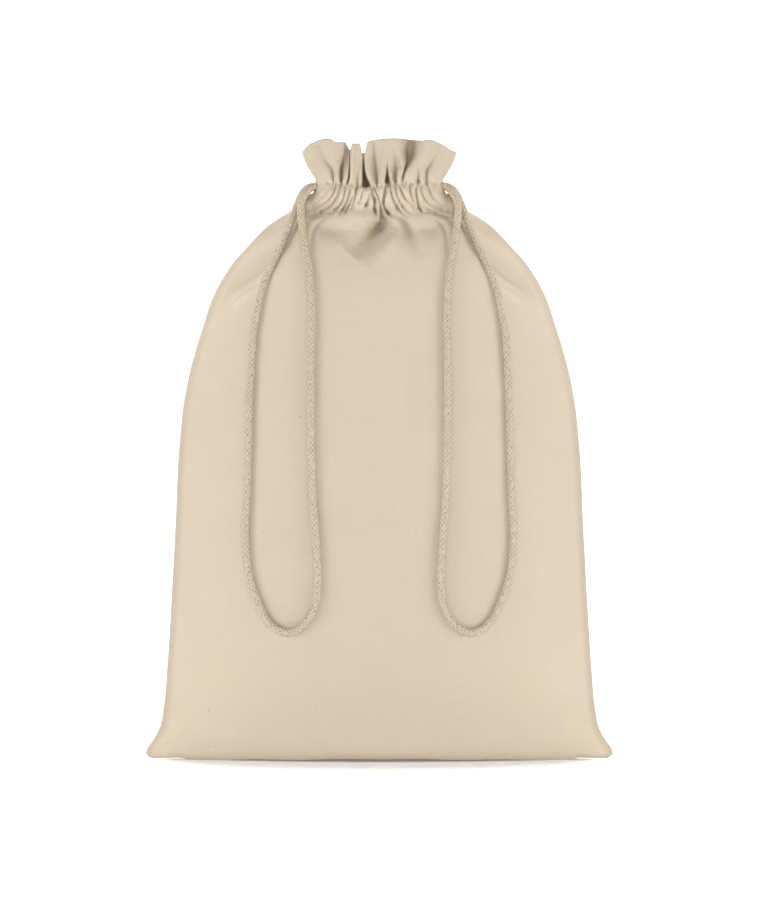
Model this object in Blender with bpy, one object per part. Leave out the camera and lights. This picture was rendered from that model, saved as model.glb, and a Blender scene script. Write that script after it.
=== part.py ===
"""Large natural-cotton drawstring bag with two cords, lightly filled and drawn shut, standing upright.

Frame: metres, +Z up, origin on the floor under the middle of the base. The front faces -Y.
Each cord is a closed loop. It runs through the casings in front and behind, and hangs out at its own side.
"""

import math

import bmesh
import bpy
import numpy as np

WALL = 0.0012  # cloth wall
HALF_GAP = 0.00015  # half of the clearance where two pieces meet
COLUMNS = 20  # facets across a body panel

# Filled body, bottom to top: height, half width, half depth, sharpness of the section's two side edges.
BODY = [
    (0.000, 0.1210, 0.0000, 1.00),
    (0.000, 0.1210, 0.0280, 1.00),
    (0.002, 0.1480, 0.0295, 1.40),
    (0.004, 0.1500, 0.0310, 1.40),
    (0.010, 0.1474, 0.0330, 1.25),
    (0.016, 0.1436, 0.0345, 1.10),
    (0.032, 0.1390, 0.0370, 0.90),
    (0.060, 0.1367, 0.0415, 0.75),
    (0.100, 0.1342, 0.0465, 0.66),
    (0.150, 0.1318, 0.0500, 0.62),
    (0.200, 0.1292, 0.0500, 0.60),
    (0.235, 0.1248, 0.0475, 0.60),
    (0.265, 0.1184, 0.0430, 0.60),
    (0.293, 0.1090, 0.0370, 0.62),
    (0.312, 0.0993, 0.0320, 0.65),
    (0.331, 0.0832, 0.0255, 0.68),
    (0.345, 0.0700, 0.0205, 0.70),
    (0.355, 0.0550, 0.0170, 0.70),
]
RIM_DIP = 0.0055  # how far the body's rim drops in the middle, so that the neck can tilt over it
CORNER_FILL = (0.118, 0.9)  # inside half width at the floor, and its growth with height: the ears are flat

SEAM_WIDTH = 0.008  # seam allowance inside the bag
SEAM_THICK = 0.0012
SEAM_ROOM = 0.003

# Gathered neck: two casings side by side, each a flat channel that holds both cords.
CASING_LOW, CASING_HIGH = 0.357, 0.375
CASING_WALL = 0.001
CASING_HALF_WIDTH = 0.041  # at the top; the foot spreads by NECK_SPREAD
NECK_SPREAD = 0.009
NECK_END, NECK_BOW = 0.005, 0.0085  # the casing's middle line: distance from y = 0 at its ends, and its bow
CASING_HALF_DEPTH, CASING_BULK = 0.0045, 0.0019
CHANNEL = [(1, -0.55), (1, 0.55), (0.6, 1), (-0.6, 1), (-1, 0.55), (-1, -0.55), (-0.6, -1), (0.6, -1)]

FRILL_LOW, FRILL_HIGH = 0.3754, 0.400
FRILL_HALF_WIDTH = 0.050
FRILL_CORNER_DROP = 0.0085
FRILL_BOW = 0.0175
FRILL_END = 0.0035
FRILL_WALL = 0.0015

THREAD_RADIUS = 0.0004
STITCH_ROWS = {"lower": 0.3585, "upper": 0.3735}

CORD_RADIUS = 0.0024
CORD_STEP = 0.0085
STUB = 0.0012  # straight end of each cord piece
RUN_OFFSET = (0.0033, 0.00265)  # each cord's offset from the casing's middle line: in height, in depth

# Left cord outside the casing, as x, y, z: out of the front casing, down, round and up to the back casing.
EXIT_FRONT = [(-0.0432, -0.0054, 0.3693), (-0.0458, -0.0070, 0.3704), (-0.0482, -0.0095, 0.3692)]
LEAD_FRONT = [(-0.0497, -0.0118, 0.3660), (-0.0508, -0.0140, 0.3610), (-0.0511, -0.0156, 0.3550),
              (-0.0493, -0.0195, 0.3400)]
LOOP = [(-0.0472, -0.0252, 0.3260), (-0.0446, -0.0313, 0.3115), (-0.0434, -0.0360, 0.2950),
        (-0.0430, -0.0398, 0.2790), (-0.0434, -0.0438, 0.2580), (-0.0436, -0.0468, 0.2370),
        (-0.0432, -0.0494, 0.2050), (-0.0424, -0.0500, 0.1730), (-0.0406, -0.0501, 0.1470),
        (-0.0394, -0.0490, 0.1280), (-0.0394, -0.0475, 0.1060), (-0.0454, -0.0447, 0.0880),
        (-0.0583, -0.0416, 0.0810), (-0.0710, -0.0393, 0.0880), (-0.0792, -0.0388, 0.1060),
        (-0.0838, -0.0382, 0.1240), (-0.0853, -0.0389, 0.1470), (-0.0842, -0.0394, 0.1730),
        (-0.0833, -0.0392, 0.2050), (-0.0825, -0.0368, 0.2370), (-0.0815, -0.0338, 0.2580),
        (-0.0804, -0.0310, 0.2740), (-0.0777, -0.0281, 0.2900), (-0.0744, -0.0246, 0.3050)]
LEAD_BACK = [(-0.0697, -0.0224, 0.3160), (-0.0630, -0.0184, 0.3310), (-0.0581, -0.0142, 0.3440),
             (-0.0546, -0.0090, 0.3560)]
EXIT_BACK = [(-0.0534, -0.0066, 0.3640), (-0.0521, -0.0034, 0.3695), (-0.0494, 0.0010, 0.3723),
             (-0.0460, 0.0044, 0.3714)]
BACK_MOUTH = (-0.0432, 0.0054, 0.3693)  # where it goes into the back casing at its own side
# The left cord's turn at the far side, from the back casing round to the front casing.
CROSSING = [(0.0478, 0.0044, 0.3627), (0.0498, 0.0028, 0.3627), (0.0506, 0.0000, 0.3627),
            (0.0498, -0.0028, 0.3627)]
FRONT_MOUTH = (0.0478, -0.0044, 0.3627)  # where it goes into the front casing at the far side

COTTON = (0.79, 0.68, 0.53)
CORD_COTTON = (0.77, 0.66, 0.50)
THREAD_COTTON = (0.82, 0.73, 0.58)


def clear_scene():
    for obj in list(bpy.data.objects):
        bpy.data.objects.remove(obj, do_unlink=True)


def cloth_material(name, colour):
    material = bpy.data.materials.new(name)
    material.use_nodes = True
    shader = material.node_tree.nodes["Principled BSDF"]
    shader.inputs["Base Color"].default_value = (*colour, 1)
    shader.inputs["Roughness"].default_value = 0.9
    shader.inputs["Metallic"].default_value = 0.0
    return material


def add_mesh(name, points, faces, colour):
    """A closed mesh of these points and faces, facing outwards, with points that coincide joined."""
    mesh = bpy.data.meshes.new(name)
    mesh.from_pydata([tuple(p) for p in points], [], faces)
    work = bmesh.new()
    work.from_mesh(mesh)
    bmesh.ops.remove_doubles(work, verts=work.verts, dist=1e-6)
    bmesh.ops.recalc_face_normals(work, faces=work.faces)
    work.to_mesh(mesh)
    work.free()
    mesh.shade_smooth()
    mesh.set_sharp_from_angle(angle=math.radians(40))
    mesh.materials.append(cloth_material(name, colour))
    obj = bpy.data.objects.new(name, mesh)
    bpy.context.scene.collection.objects.link(obj)
    return obj


def add_tube(name, points, radius, colour, rings=3):
    """A round tube with filled ends along these points."""
    curve = bpy.data.curves.new(name, "CURVE")
    curve.dimensions = "3D"
    curve.bevel_depth = radius
    curve.bevel_resolution = rings
    curve.use_fill_caps = True
    spline = curve.splines.new("POLY")
    spline.points.add(len(points) - 1)
    for knot, point in zip(spline.points, points):
        knot.co = (*point, 1)
    curve.materials.append(cloth_material(name, colour))
    obj = bpy.data.objects.new(name, curve)
    bpy.context.scene.collection.objects.link(obj)
    return obj


def shell(outer, inner):
    """Points and faces of a closed wall between two grids of the same shape."""
    rows, columns = len(outer), len(outer[0])
    points = [p for row in outer for p in row] + [p for row in inner for p in row]
    shift = rows * columns
    faces = []
    for i in range(rows - 1):
        for j in range(columns - 1):
            a, b = i * columns + j, (i + 1) * columns + j
            faces.append((a, a + 1, b + 1, b))
            faces.append((shift + b, shift + b + 1, shift + a + 1, shift + a))
    edge = [(0, j) for j in range(columns)] + [(i, columns - 1) for i in range(1, rows)]
    edge += [(rows - 1, j) for j in range(columns - 2, -1, -1)] + [(i, 0) for i in range(rows - 2, 0, -1)]
    ring = [i * columns + j for i, j in edge]
    for a, b in zip(ring, ring[1:] + ring[:1]):
        faces.append((a, a + shift, b + shift, b))
    return points, faces


def inside_of(station):
    """The cavity's height, half width and half depth at a body station."""
    height, half_width, half_depth, _ = station
    floor = max(height, WALL + height * (1 - WALL / 0.010))
    corner = CORNER_FILL[0] + CORNER_FILL[1] * height
    return floor, min(half_width - WALL, corner), max(half_depth - WALL, 0.0)


def body_panel(name, side):
    """Half of the body, front (side -1) or back (side 1), from the seams to the rim below the neck."""
    outer, inner = [], []
    turns = np.linspace(-math.pi / 2, math.pi / 2, COLUMNS + 1)
    for station in BODY:
        height, half_width, half_depth, sharpness = station
        floor, inner_width, inner_depth = inside_of(station)
        bow = np.maximum(np.cos(turns), 0) ** (2 * sharpness)
        bow[[0, -1]] = 0
        dip = RIM_DIP * bow if station is BODY[-1] else 0 * bow
        outer.append([(half_width * math.sin(t), side * (HALF_GAP + half_depth * w), height - d)
                      for t, w, d in zip(turns, bow, dip)])
        inner.append([(inner_width * math.sin(t), side * (HALF_GAP + inner_depth * w), floor - d)
                      for t, w, d in zip(turns, bow, dip)])
    return add_mesh(name, *shell(outer, inner), COTTON)


def strip(name, sections, colour):
    """A closed strip through four-cornered sections."""
    points = [p for section in sections for p in section]
    faces = [(3, 2, 1, 0), tuple(len(points) - 4 + k for k in range(4))]
    for i in range(len(sections) - 1):
        for k in range(4):
            a, b = 4 * i + k, 4 * i + (k + 1) % 4
            faces.append((a, b, b + 4, a + 4))
    return add_mesh(name, points, faces, colour)


def side_seam(name, side):
    """Seam allowance folded inside, along the side where the two panels are sewn together."""
    sections = []
    half = SEAM_THICK / 2
    for station in BODY:
        if not 0.015 < station[0] < 0.350:
            continue
        _, inner_width, inner_depth = inside_of(station)
        edge = inner_width * math.sqrt(1 - (SEAM_ROOM / inner_depth) ** (1 / station[3]))
        near, far = side * (edge - SEAM_WIDTH), side * edge
        z = station[0]
        sections.append([(near, -half, z), (far, -half, z), (far, half, z), (near, half, z)])
    return strip(name, sections, COTTON)


def bottom_seam():
    """Seam allowance standing up inside, along the middle of the base."""
    half, low, reach = SEAM_THICK / 2, WALL + 2 * HALF_GAP, 0.106
    sections = [[(x, -half, low), (x, half, low), (x, half, low + SEAM_WIDTH), (x, -half, low + SEAM_WIDTH)]
                for x in np.linspace(-reach, reach, 5)]
    return strip("bottom_seam", sections, COTTON)


def neck_width(z):
    """Half width of the gathered casing at this height."""
    return CASING_HALF_WIDTH + NECK_SPREAD * ((CASING_HIGH - z) / (CASING_HIGH - CASING_LOW)) ** 2


def neck_line(s):
    """Distance of the casing's middle line from y = 0, for s from -1 to 1 across the neck."""
    return NECK_END + NECK_BOW * (1 - s * s)


def casing_half_depth(s):
    return CASING_HALF_DEPTH + CASING_BULK * (1 - s * s)


def casing(name, side):
    """Sewn channel across one half of the neck, open at both ends."""
    half_height = (CASING_HIGH - CASING_LOW) / 2
    middle = (CASING_HIGH + CASING_LOW) / 2
    stations = np.linspace(-1, 1, 13)
    rings = []
    for wall in (0, CASING_WALL):
        for s in stations:
            ring = []
            for d, h in CHANNEL:
                z = middle + h * (half_height - wall)
                y = neck_line(s) + d * (casing_half_depth(s) - wall)
                ring.append((s * neck_width(z), side * y, z))
            rings.append(ring)
    points = [p for ring in rings for p in ring]
    count, turn = len(stations), len(CHANNEL)
    faces = []
    for layer in (0, 1):
        for i in range(count - 1):
            for k in range(turn):
                a, b = (layer * count + i) * turn + k, (layer * count + i) * turn + (k + 1) % turn
                faces.append((a, b, b + turn, a + turn) if layer else (a + turn, b + turn, b, a))
    for i in (0, count - 1):
        for k in range(turn):
            a, b = i * turn + k, i * turn + (k + 1) % turn
            faces.append((a, b, b + count * turn, a + count * turn))
    return add_mesh(name, points, faces, COTTON)


def frill(name, side):
    """Flared edge of the mouth above the casing."""
    outer, inner = [], []
    for rise in np.linspace(0, 1, 4):
        rows = [], []
        for s in np.linspace(-1, 1, 17):
            top = FRILL_HIGH - FRILL_CORNER_DROP * abs(s) ** 3
            z = FRILL_LOW + rise * (top - FRILL_LOW)
            x = s * (CASING_HALF_WIDTH + rise * (FRILL_HALF_WIDTH - CASING_HALF_WIDTH))
            flared = FRILL_END + FRILL_BOW * (1 - s * s)
            y = neck_line(s) + rise * (flared - neck_line(s))
            for row, offset in zip(rows, (FRILL_WALL / 2, -FRILL_WALL / 2)):
                row.append((x, side * (y + offset), z))
        outer.append(rows[0])
        inner.append(rows[1])
    return add_mesh(name, *shell(outer, inner), COTTON)


def stitch_row(name, side, z):
    """Sewing thread along the outer face of a casing."""
    half_height = (CASING_HIGH - CASING_LOW) / 2
    h = abs(z - (CASING_HIGH + CASING_LOW) / 2) / half_height
    slope = 1 - (1 - CHANNEL[2][0]) * (h - CHANNEL[1][1]) / (1 - CHANNEL[1][1])
    clear = THREAD_RADIUS + 4 * HALF_GAP
    points = [(s * neck_width(z), side * (neck_line(s) + slope * casing_half_depth(s) + clear), z)
              for s in np.linspace(-0.98, 0.98, 19)]
    return add_tube(name, points, THREAD_RADIUS, THREAD_COTTON, rings=2)


def run_points(side, lane):
    """A cord inside the front (side -1) or back casing: high at its own end, low at the far one.
    The two cords pass each other halfway, the left one (lane 1) in front of the right one (lane -1)."""
    points = []
    for s in np.linspace(-0.92, 0.92, 9):
        z = (CASING_LOW + CASING_HIGH) / 2 - RUN_OFFSET[0] * math.sin(s * math.pi / 2)
        d = neck_line(s) - side * lane * RUN_OFFSET[1] * math.cos(s * math.pi / 2)
        points.append((s * neck_width(z), side * d, z))
    return points


def cord_route(lane):
    """Closed route of a cord, drawn at the left, and the place in it where each piece starts."""
    parts = [
        ("front_exit", EXIT_FRONT),
        ("front_lead", LEAD_FRONT),
        ("loop", LOOP),
        ("back_lead", LEAD_BACK),
        ("back_exit", EXIT_BACK),
        ("back_run", [BACK_MOUTH] + run_points(1, lane)),
        ("crossing", CROSSING),
        ("front_run", [FRONT_MOUTH] + run_points(-1, lane)[::-1]),
    ]
    points, starts = [], {}
    for name, part in parts:
        starts[name] = len(points)
        points += part
    return np.array(points), starts


def through(points, i):
    """Smooth curve from point i to the next one of a closed route, a few diameters at a time."""
    before, start, end, after = (points[(i + k) % len(points)] for k in (-1, 0, 1, 2))
    count = max(1, round(float(np.linalg.norm(end - start)) / CORD_STEP))
    out, into = (end - before) / 2, (after - start) / 2
    for t in np.arange(count) / count:
        yield ((2 * t**3 - 3 * t**2 + 1) * start + (t**3 - 2 * t**2 + t) * out
               + (3 * t**2 - 2 * t**3) * end + (t**3 - t**2) * into)


def end_stub(points, i, way):
    """The first two points of a piece that starts at point i, square to the route, so that two pieces meet flat."""
    here, after, before = (points[(i + k) % len(points)] for k in (0, 1, -1))
    along = way * (after - before) / np.linalg.norm(after - before)
    return [here + HALF_GAP * along, here + STUB * along]


def cord(owner, lane):
    """All pieces of one cord: the left one with lane 1, or its mirror image at the right with lane -1."""
    points, starts = cord_route(lane)
    names = list(starts)
    for name, following in zip(names, names[1:] + names[:1]):
        first, last = starts[name], starts[following] or len(points)
        path = [p for i in range(first, last) for p in through(points, i)][1:]
        start, end = end_stub(points, first, 1), end_stub(points, last, -1)
        path = start + path + end[::-1]
        placed = [(lane * x, y, z) for x, y, z in path]
        add_tube(f"{owner}_cord_{name}", placed, CORD_RADIUS, CORD_COTTON)


def build():
    clear_scene()
    for half, side in (("front", -1), ("back", 1)):
        body_panel(f"{half}_panel", side)
        casing(f"{half}_casing", side)
        frill(f"{half}_frill", side)
        for row, z in STITCH_ROWS.items():
            stitch_row(f"{half}_{row}_stitch", side, z)
    side_seam("left_side_seam", -1)
    side_seam("right_side_seam", 1)
    bottom_seam()
    cord("left", 1)
    cord("right", -1)


build()
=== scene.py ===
import math

import bpy
import numpy as np
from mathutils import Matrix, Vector


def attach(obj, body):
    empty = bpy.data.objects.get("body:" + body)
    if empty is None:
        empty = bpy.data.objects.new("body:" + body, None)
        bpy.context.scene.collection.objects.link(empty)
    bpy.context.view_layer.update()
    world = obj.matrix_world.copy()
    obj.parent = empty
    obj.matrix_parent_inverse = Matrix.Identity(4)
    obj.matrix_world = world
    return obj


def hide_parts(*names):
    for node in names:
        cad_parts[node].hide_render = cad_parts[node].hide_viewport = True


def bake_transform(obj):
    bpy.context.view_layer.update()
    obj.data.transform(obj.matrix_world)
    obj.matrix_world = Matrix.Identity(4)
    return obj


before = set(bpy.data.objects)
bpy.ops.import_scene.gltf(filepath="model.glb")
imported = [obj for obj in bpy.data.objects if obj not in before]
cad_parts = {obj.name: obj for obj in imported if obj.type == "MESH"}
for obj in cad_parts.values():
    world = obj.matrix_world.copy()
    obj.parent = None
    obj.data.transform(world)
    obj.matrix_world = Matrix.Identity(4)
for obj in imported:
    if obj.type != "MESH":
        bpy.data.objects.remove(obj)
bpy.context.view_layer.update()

MM = 0.001

# ---------------------------------------------------------------- sizes, in millimetres

HALF_CUT_WIDTH = 150.0
CLOTH_THICK = 0.5
CORD_DIAMETER = 4.8
BRAID_STRANDS = 5  # in each direction
BRAID_STEP = 3.3   # along the cord, before its pattern of strands repeats
ROUTE_STEP = 0.42  # between the rings of a cord's mesh
CORD_SIDES = 40

SLIT_FOOT = 350.0
CASING_MIDDLE, CASING_HALF_HEIGHT = 362.2, 6.2
RUN_HEIGHT = 365.3  # of the cords inside the casings, at their middle
FRILL_FOOT = 375.0
LIES_BELOW = 348.0  # the loops lie on the cloth below this height

COLUMNS, FRILL_ROWS, BASE_ROWS = 421, 34, 6  # of each cloth's mesh

# Filled body: height, half width, half depth, sharpness of the section's side edges.
BODY = [
    (0, 146.0, 32.5, 1.30), (1, 148.4, 33.2, 1.40), (2, 149.6, 33.8, 1.40), (4, 150.5, 34.8, 1.40),
    (6, 150.0, 35.5, 1.36), (8, 148.9, 36.0, 1.30), (10, 147.4, 36.4, 1.25), (12, 146.1, 36.7, 1.20),
    (16, 143.6, 37.2, 1.10), (20, 141.7, 37.7, 1.04), (32, 139.3, 39.2, 0.90), (60, 136.8, 43.0, 0.75),
    (100, 134.3, 47.0, 0.66), (150, 131.5, 50.0, 0.62), (200, 129.1, 50.0, 0.60), (235, 125.2, 47.5, 0.60),
    (250, 122.1, 45.5, 0.60), (265, 118.1, 43.0, 0.60), (280, 113.4, 40.2, 0.60), (300, 106.4, 36.2, 0.62),
    (312, 99.8, 33.0, 0.64), (322, 92.8, 30.0, 0.66), (331, 84.4, 27.0, 0.66), (338, 78.0, 24.6, 0.66),
    (344, 71.7, 22.4, 0.66), (350, 62.9, 19.8, 0.66), (354, 56.4, 17.8, 0.62), (360, 48.2, 16.4, 0.58),
    (365, 42.7, 16.2, 0.52), (370, 41.0, 14.2, 0.48), (373.5, 41.0, 13.0, 0.44), (377, 43.2, 13.6, 0.40),
    (380, 44.9, 14.8, 0.38), (384, 47.2, 16.8, 0.36), (391, 49.8, 20.4, 0.35), (400, 51.4, 24.0, 0.35)]
# The front and back cloths part above the foot of the side slits: height, distance of the edge from y = 0.
SLIT = [(350, 0.0), (355, 0.3), (358, 2.2), (364, 3.6), (372, 3.6), (380, 3.4), (400, 3.0)]
# How far the bottom edge stands off the floor: distance from the middle, lift.
BOTTOM_LIFT = [
    (0, 1.9), (25, 2.0), (50, 1.2), (80, 1.1), (100, 0.3), (118, 0.0), (124, 0.6), (128, 1.1), (134, 0.95),
    (142, 0.7), (148, 0.4), (151, 0.2)]
# Painted light and shade in the cloth's colour, lighter near the bottom, on the shoulders and on the casing, darker
# in the frill: height, factor.
PAINTED_LIGHT_BY_HEIGHT = [
    (0, 1.12), (12, 1.12), (30, 1.06), (60, 1.02), (100, 0.995), (200, 0.985), (260, 1.02), (310, 1.04),
    (333, 1.03), (341, 0.99), (350, 1.03), (370, 1.12), (376, 0.97), (385, 0.90), (400, 0.90)]
# Rows of stitching above and below the cords, as x and height.
UPPER_ROW = [
    (-46, 371.6), (-38, 370.6), (-31, 371.5), (-25, 370.6), (-20, 369.9), (-14, 369.7), (-9, 367.8), (-5, 367.7),
    (0, 368.4), (5, 369.6), (11, 371.3), (17, 370.3), (23, 371.2), (30, 371.5), (37, 370.6), (46, 371.6)]
LOWER_ROW = [
    (-58, 352.0), (-47, 353.2), (-36, 352.2), (-28, 353.4), (-21, 354.6), (-14, 357.0), (-8, 356.6), (-3, 354.2),
    (4, 352.2), (9, 354.0), (14, 356.6), (20, 356.4), (26, 353.6), (34, 352.4), (45, 353.4), (58, 352.0)]

# Upper edge of the front and back frills, as x and height.
FRONT_TOP = [
    (-51, 390.6), (-49, 391.8), (-47, 393.6), (-45, 395.4), (-42.5, 396.4), (-39.5, 397.6), (-36.5, 398.4),
    (-33.4, 398.6), (-30.8, 397.9), (-28.8, 396.7), (-28.0, 396.2), (-24.8, 396.2), (-21.9, 396.4),
    (-21.1, 395.4), (-20.2, 392.6), (-19.2, 391.8), (-18.3, 392.4), (-17.8, 394.6), (-17.2, 395.4),
    (-13.0, 395.4), (-12.3, 394.2), (-11.6, 390.6), (-10.4, 389.4), (-9.4, 389.4), (-8.9, 391.2),
    (-8.0, 395.2), (-7.0, 396.4), (-4, 397.2), (0, 398.0), (8, 398.4), (16, 398.6), (20, 398.4),
    (24, 397.8), (28.2, 397.3), (29.0, 397.9), (32, 397.9), (35.5, 397.2), (40, 395.2), (43, 393.6),
    (45, 392.2), (47, 391.4), (51, 390.7)]
BACK_TOP = [
    (-51, 391.3), (-46, 393.7), (-41, 396.9), (-37, 398.9), (-33.4, 399.7), (-30, 398.9), (-26, 396.0),
    (-22.5, 392.4), (-19, 391.0), (-15, 391.0), (-12, 390.0), (-9, 390.0), (-5, 394.6), (2, 398.0), (12, 398.4),
    (24, 398.2), (28.6, 399.0), (30, 399.5), (33, 399.0), (37, 397.3), (42, 394.7), (45.5, 393.0), (51, 391.5)]

# Folds, each as points of x, height, depth and half width. A negative depth is a ridge.
FRILL_FOLDS = [
    [(-41, 401, 0.4, 5.0), (-38.6, 395, 1.4, 4.2), (-36.4, 388.5, 2.6, 3.4), (-33.2, 383.5, 3.6, 2.6),
     (-30.4, 380, 4.2, 1.9), (-29.7, 376.5, 4.2, 1.4), (-29.6, 371, 2.4, 1.1), (-30, 368, 0.8, 1)],
    [(-45, 396, -1.0, 4.0), (-41, 380, -1.0, 3.0), (-38, 374, 0, 2)],
    [(-30, 401, -1.0, 4.0), (-29.5, 388, -2.0, 3.6), (-27.2, 377, -1.6, 1.8), (-27, 370, 0, 1.2)],
    [(-22, 401, 1.0, 2.4), (-21.8, 390, 4.5, 2.2), (-23.2, 384.5, 8.0, 1.9), (-24.3, 380, 9.0, 1.5),
     (-24.5, 374, 8.0, 1.1), (-24.6, 369.5, 2.0, 1.0)],
    [(-21.0, 401, 3.4, 1.7), (-20.8, 390, 4.0, 1.6), (-21.4, 381, 3.0, 1.3), (-21.6, 374, 1.0, 1.2)],
    [(-15.0, 401, 2.0, 3.2), (-14.8, 388, 2.4, 3.0), (-15, 377, 1.4, 2.2), (-15, 368, 0, 1.2)],
    [(-12.4, 390, 0.6, 1.0), (-12.0, 382, 1.6, 1.2), (-13.6, 375, 2.0, 1.4), (-14.4, 370, 2.4, 1.0)],
    [(-4.5, 401, 0.4, 3.6), (-3.2, 392, 3.2, 3.2), (-2.8, 385, 4.6, 2.8), (-2.2, 378, 5.0, 2.0),
     (-1.6, 372, 5.0, 1.2), (-1.4, 367, 2.0, 1.0)],
    [(3, 396, -1.2, 3.0), (2.4, 385, -2.8, 2.4), (2.0, 375, -3.0, 1.6), (1.4, 367, -2.0, 1.3),
     (0.6, 357, -1.2, 1.1)],
    [(8.5, 392, 0.5, 2.5), (9.8, 386, 2.4, 2.8), (10.4, 381, 4.0, 2.4), (10.3, 376, 5.0, 1.7),
     (10.2, 372, 4.0, 1.2), (11, 368, 1.0, 1.0)],
    [(16.0, 384, -1.0, 1.4), (15.4, 381.6, -2.6, 1.3), (13.2, 378.6, -3.0, 1.3), (11.9, 374, -2.4, 1.1),
     (12.4, 370, -1.2, 1.0), (15, 366.6, -0.6, 1.0)],
    [(13.4, 399, -0.8, 2.6), (13.0, 391, -2.4, 2.6), (13.6, 387, -2.4, 2.2), (14.6, 384.4, -1.4, 1.6)],
    [(29, 392, -1.2, 4.0), (24.5, 382, -1.6, 3.0), (21, 376, -0.6, 2.0)],
    [(28.2, 401, 1.2, 0.9), (27.4, 395, 0.4, 1.2), (24.9, 381, 0.8, 1.4), (24.7, 376, 2.8, 1.2),
     (24.7, 372, 3.6, 1.0), (24.5, 369, 0.8, 1)],
    [(41, 399, 0.4, 4.0), (37.6, 392, 1.6, 3.4), (33.2, 384, 3.2, 2.6), (30.3, 378.6, 4.6, 1.7),
     (30, 373, 3.4, 1.2), (29.6, 368.5, 0.6, 1)],
    [(45, 398, -0.8, 4.0), (42, 384, -0.8, 3.0), (38, 375, 0, 2)],
]
# Gaps with steep sides, where two folds nearly meet.
GAPS = [
    [(-18.9, 401, 2, 0.5), (-18.9, 390, 2.2, 0.42), (-19.2, 380, 5, 0.42), (-19.6, 374, 7, 0.5),
     (-20.8, 370, 2.5, 0.6)],
    [(-10.2, 401, 1.5, 0.8), (-10.2, 390, 1.5, 0.8), (-10.2, 386.5, 2.5, 0.6), (-10.1, 381, 9, 0.65),
     (-9.7, 375, 15, 1.1), (-8.9, 371.6, 17, 1.8), (-8.6, 368.8, 13, 2.7), (-8.6, 367.2, 1, 1.8)],
    [(4.9, 386, 0, 0.5), (4.9, 381, 1.6, 0.5), (5.0, 375.5, 9, 0.75), (5.0, 372.5, 12, 1.3),
     (5.0, 370.0, 3, 1.6)],
    [(17.4, 383, 1, 0.8), (16.4, 379, 3, 0.7), (15.2, 375, 3.8, 0.7), (14.5, 371, 1, 0.7)],
]
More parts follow.
